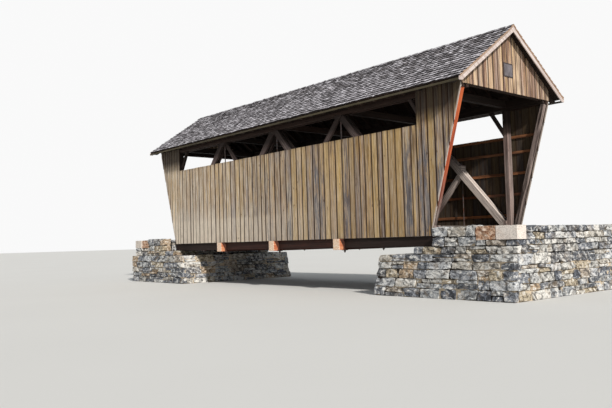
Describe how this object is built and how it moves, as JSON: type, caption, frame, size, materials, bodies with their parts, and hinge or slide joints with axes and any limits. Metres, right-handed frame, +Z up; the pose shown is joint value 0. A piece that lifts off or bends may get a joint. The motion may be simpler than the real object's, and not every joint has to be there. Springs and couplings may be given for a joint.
{
  "type": "covered bridge",
  "caption": "One-lane timber covered bridge: boarded trusses with iron rods, leaning open portals under a gabled shake roof, on rubble stone abutments.",
  "frame": {"origin": "on the ground under the middle of the span, at the centre of the base", "axes": "X along the roadway with the seen portal at +X, Y across the roadway with the seen long side at -Y, Z up"},
  "size_m": [20.67, 5.9, 7.8834],
  "materials": {
    "rubble_stone": "coursed grey limestone rubble with some tan and ochre stones, mortar joints recessed",
    "dressed_stone": "pale sawn end blocks",
    "iron_rod": "dark iron rods, plate washers and nuts, dull with light rust",
    "roof_shakes": "split wooden shakes weathered to silver grey, rough and uneven",
    "weathered_boards": "unpainted vertical boards weathered tan, brown and blue grey, rough sawn",
    "trim_boards": "pale pinkish tan rake boards, matte",
    "fascia_boards": "thin olive brown eave boards, matte",
    "red_timber": "orange red stained timber fading to grey near the foot",
    "beam_timber": "squared beams with orange pink sawn ends",
    "deck_planks": "sawn floor planks, worn and dusty",
    "frame_timber": "squared truss and roof timbers, brown going grey, matte"
  },
  "bodies": {
    "root": {"angle_blocks": "frame_timber", "counter_braces": "frame_timber", "deck": "deck_planks", "eave_fascias": "fascia_boards", "end_posts": "frame_timber", "end_sills": "frame_timber", "far_bottom_chord": "frame_timber", "far_girts": "frame_timber", "far_left_wing_siding": "weathered_boards", "far_low_siding": "weathered_boards", "far_main_braces": "frame_timber", "far_rafters": "frame_timber", "far_right_wing_siding": "weathered_boards", "far_rods": "iron_rod", "far_shakes": "roof_shakes", "far_sheathing": "frame_timber", "far_top_chord": "frame_timber", "floor_beams": "beam_timber", "knee_braces": "frame_timber", "left_abutment_base": "rubble_stone", "left_abutment_core": "rubble_stone", "left_abutment_seat": "rubble_stone", "left_far_parapet": "rubble_stone", "left_gable": "weathered_boards", "left_near_parapet": "rubble_stone", "lower_timbers": "frame_timber", "near_bottom_chord": "frame_timber", "near_girts": "frame_timber", "near_left_wing_siding": "weathered_boards", "near_low_siding": "weathered_boards", "near_main_braces": "frame_timber", "near_rafters": "frame_timber", "near_right_wing_siding": "weathered_boards", "near_rods": "iron_rod", "near_shakes": "roof_shakes", "near_sheathing": "frame_timber", "near_top_chord": "frame_timber", "parapet_end_blocks": "dressed_stone", "portal_rakers": "red_timber", "rake_boards": "trim_boards", "ridge_board": "frame_timber", "right_abutment_base": "rubble_stone", "right_abutment_core": "rubble_stone", "right_abutment_seat": "rubble_stone", "right_far_parapet": "rubble_stone", "right_gable": "weathered_boards", "right_near_parapet": "rubble_stone", "stringers": "frame_timber", "tie_beams": "frame_timber"}
  },
  "joints": []
}
